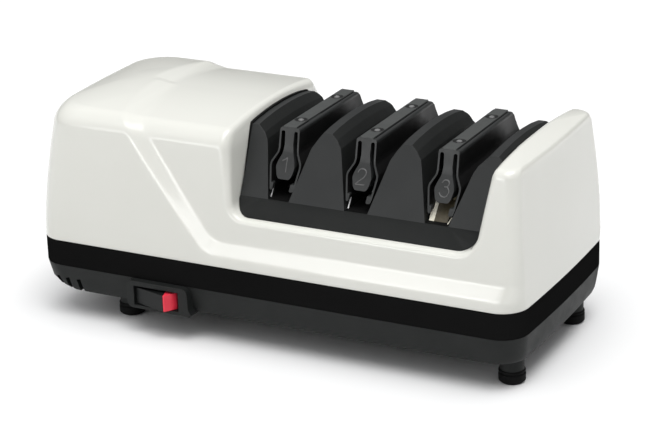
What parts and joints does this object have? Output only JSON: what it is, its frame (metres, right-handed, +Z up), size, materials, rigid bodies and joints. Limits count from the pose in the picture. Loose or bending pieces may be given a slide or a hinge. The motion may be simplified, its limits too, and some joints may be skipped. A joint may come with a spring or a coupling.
{
  "type": "electric knife sharpener",
  "caption": "Benchtop electric knife sharpener: slotted guide bay over spring-loaded abrasive disks on a motor shaft, with a rocker switch in the base.",
  "frame": {"origin": "centre of the footprint, on the worktop under the feet", "axes": "+X along the body towards the knife guides, -Y the front with the switch, +Z up"},
  "size_m": [0.25, 0.1213, 0.107],
  "materials": {
    "white_shell": "glossy warm white",
    "gloss_black": "glossy black",
    "charcoal": "fine matte, moulded",
    "tray_plastic": "satin, moulded",
    "guide_plastic": "satin, moulded",
    "cap_plastic": "satin, moulded",
    "black_screw": "black oxide",
    "rubber_black": "matte",
    "rocker_black": "glossy black",
    "rocker_red": "glossy red",
    "lamination_steel": "stacked sheet",
    "bobbin_plastic": "natural nylon",
    "copper_wire": "enamelled copper wire",
    "copper_bar": "bare copper",
    "zinc_steel": "zinc plated",
    "bronze": "sintered bronze",
    "ground_steel": "ground",
    "die_cast": "die cast",
    "fan_plastic": "moulded nylon",
    "abrasive_steel": "coated with fine abrasive",
    "polish_compound": "flexible polishing compound",
    "spring_steel": "drawn wire",
    "magnet": "ferrite",
    "dresser": "bonded grit"
  },
  "bodies": {
    "housing": {"upper_housing": "white_shell", "trim_band": "gloss_black", "lower_housing": "charcoal", "rubber_feet": "rubber_black", "slot_tray": "tray_plastic", "cap_screws": "black_screw", "switch_body": "charcoal", "motor_laminations": "lamination_steel", "coil_bobbin": "bobbin_plastic", "coil_winding": "copper_wire", "shading_rings": "copper_bar", "motor_bracket_left": "zinc_steel", "motor_bracket_right": "zinc_steel", "motor_screws": "zinc_steel", "shaft_bushes": "bronze", "end_bearing_block": "charcoal", "filings_magnet": "magnet", "housing_screws": "zinc_steel", "cord_grommet": "rubber_black", "guide_core_1": "guide_plastic", "guide_cap_1": "cap_plastic", "guide_core_2": "guide_plastic", "guide_cap_2": "cap_plastic", "guide_core_3": "guide_plastic", "guide_cap_3": "cap_plastic"},
    "rotor": {"drive_shaft": "ground_steel", "rotor_core": "lamination_steel", "rotor_end_rings": "die_cast", "cooling_fan": "fan_plastic", "drive_pins": "ground_steel", "disk_spring_1": "spring_steel", "disk_spring_2": "spring_steel", "disk_spring_3": "spring_steel"},
    "rocker": {"switch_rocker": "rocker_black", "rocker_red_face": "rocker_red"},
    "dressing lever": {"dressing_lever": "charcoal", "dressing_pads": "dresser"},
    "cover": {"clean_out_cover": "charcoal"},
    "disk 1 left": {"stage_1_disk_left": "abrasive_steel"},
    "disk 1 right": {"stage_1_disk_right": "abrasive_steel"},
    "disk 2 left": {"stage_2_disk_left": "abrasive_steel"},
    "disk 2 right": {"stage_2_disk_right": "abrasive_steel"},
    "disk 3 left": {"stage_3_disk_left": "polish_compound"},
    "disk 3 right": {"stage_3_disk_right": "polish_compound"},
    "leaf 1 left": {"guide_leaf_1_left": "guide_plastic"},
    "leaf 1 right": {"guide_leaf_1_right": "guide_plastic"},
    "leaf 2 left": {"guide_leaf_2_left": "guide_plastic"},
    "leaf 2 right": {"guide_leaf_2_right": "guide_plastic"},
    "leaf 3 left": {"guide_leaf_3_left": "guide_plastic"},
    "leaf 3 right": {"guide_leaf_3_right": "guide_plastic"}
  },
  "joints": [
    {"name": "shaft_spin", "type": "hinge", "parent": "housing", "child": "rotor", "pos_m": [0, 0, 0.048], "axis": [1, 0, 0], "continuous": true},
    {"name": "disk_1_left_slide", "type": "slide", "parent": "rotor", "child": "disk 1 left", "axis": [1, 0, 0], "range_m": [0, 0.0012], "stiffness_N_per_m": 1500, "springref_m": -0.002, "deforming": ["disk_spring_1"]},
    {"name": "disk_1_right_slide", "type": "slide", "parent": "rotor", "child": "disk 1 right", "axis": [-1, 0, 0], "range_m": [0, 0.0012], "stiffness_N_per_m": 1500, "springref_m": -0.002},
    {"name": "disk_2_left_slide", "type": "slide", "parent": "rotor", "child": "disk 2 left", "axis": [1, 0, 0], "range_m": [0, 0.0012], "stiffness_N_per_m": 1500, "springref_m": -0.002, "deforming": ["disk_spring_2"]},
    {"name": "disk_2_right_slide", "type": "slide", "parent": "rotor", "child": "disk 2 right", "axis": [-1, 0, 0], "range_m": [0, 0.0012], "stiffness_N_per_m": 1500, "springref_m": -0.002},
    {"name": "disk_3_left_slide", "type": "slide", "parent": "rotor", "child": "disk 3 left", "axis": [1, 0, 0], "range_m": [0, 0.0012], "stiffness_N_per_m": 1500, "springref_m": -0.002, "deforming": ["disk_spring_3"]},
    {"name": "disk_3_right_slide", "type": "slide", "parent": "rotor", "child": "disk 3 right", "axis": [-1, 0, 0], "range_m": [0, 0.0012], "stiffness_N_per_m": 1500, "springref_m": -0.002},
    {"name": "leaf_1_left_flex", "type": "hinge", "parent": "housing", "child": "leaf 1 left", "pos_m": [-0.0032, 0, 0.101], "axis": [0, -1, 0], "range_deg": [0, 4.5], "stiffness_Nm_per_rad": 0.6, "springref_deg": -1.15},
    {"name": "leaf_1_right_flex", "type": "hinge", "parent": "housing", "child": "leaf 1 right", "pos_m": [0.0056, 0, 0.101], "axis": [0, 1, 0], "range_deg": [0, 4.5], "stiffness_Nm_per_rad": 0.6, "springref_deg": -1.15},
    {"name": "leaf_2_left_flex", "type": "hinge", "parent": "housing", "child": "leaf 2 left", "pos_m": [0.0361, 0, 0.101], "axis": [0, -1, 0], "range_deg": [0, 4.5], "stiffness_Nm_per_rad": 0.6, "springref_deg": -1.15},
    {"name": "leaf_2_right_flex", "type": "hinge", "parent": "housing", "child": "leaf 2 right", "pos_m": [0.0449, 0, 0.101], "axis": [0, 1, 0], "range_deg": [0, 4.5], "stiffness_Nm_per_rad": 0.6, "springref_deg": -1.15},
    {"name": "leaf_3_left_flex", "type": "hinge", "parent": "housing", "child": "leaf 3 left", "pos_m": [0.0754, 0, 0.101], "axis": [0, -1, 0], "range_deg": [0, 4.5], "stiffness_Nm_per_rad": 0.6, "springref_deg": -1.15},
    {"name": "leaf_3_right_flex", "type": "hinge", "parent": "housing", "child": "leaf 3 right", "pos_m": [0.0842, 0, 0.101], "axis": [0, 1, 0], "range_deg": [0, 4.5], "stiffness_Nm_per_rad": 0.6, "springref_deg": -1.15},
    {"name": "rocker_turn", "type": "hinge", "parent": "housing", "child": "rocker", "pos_m": [-0.058, -0.0475, 0.0195], "axis": [0, 0, 1], "range_deg": [0, 20]},
    {"name": "dressing_slide", "type": "slide", "parent": "housing", "child": "dressing lever", "axis": [1, 0, 0], "range_m": [-0.0022, 0.0022], "stiffness_N_per_m": 800},
    {"name": "cover_slide", "type": "slide", "parent": "housing", "child": "cover", "axis": [1, 0, 0], "range_m": [0, 0.026]}
  ]
}
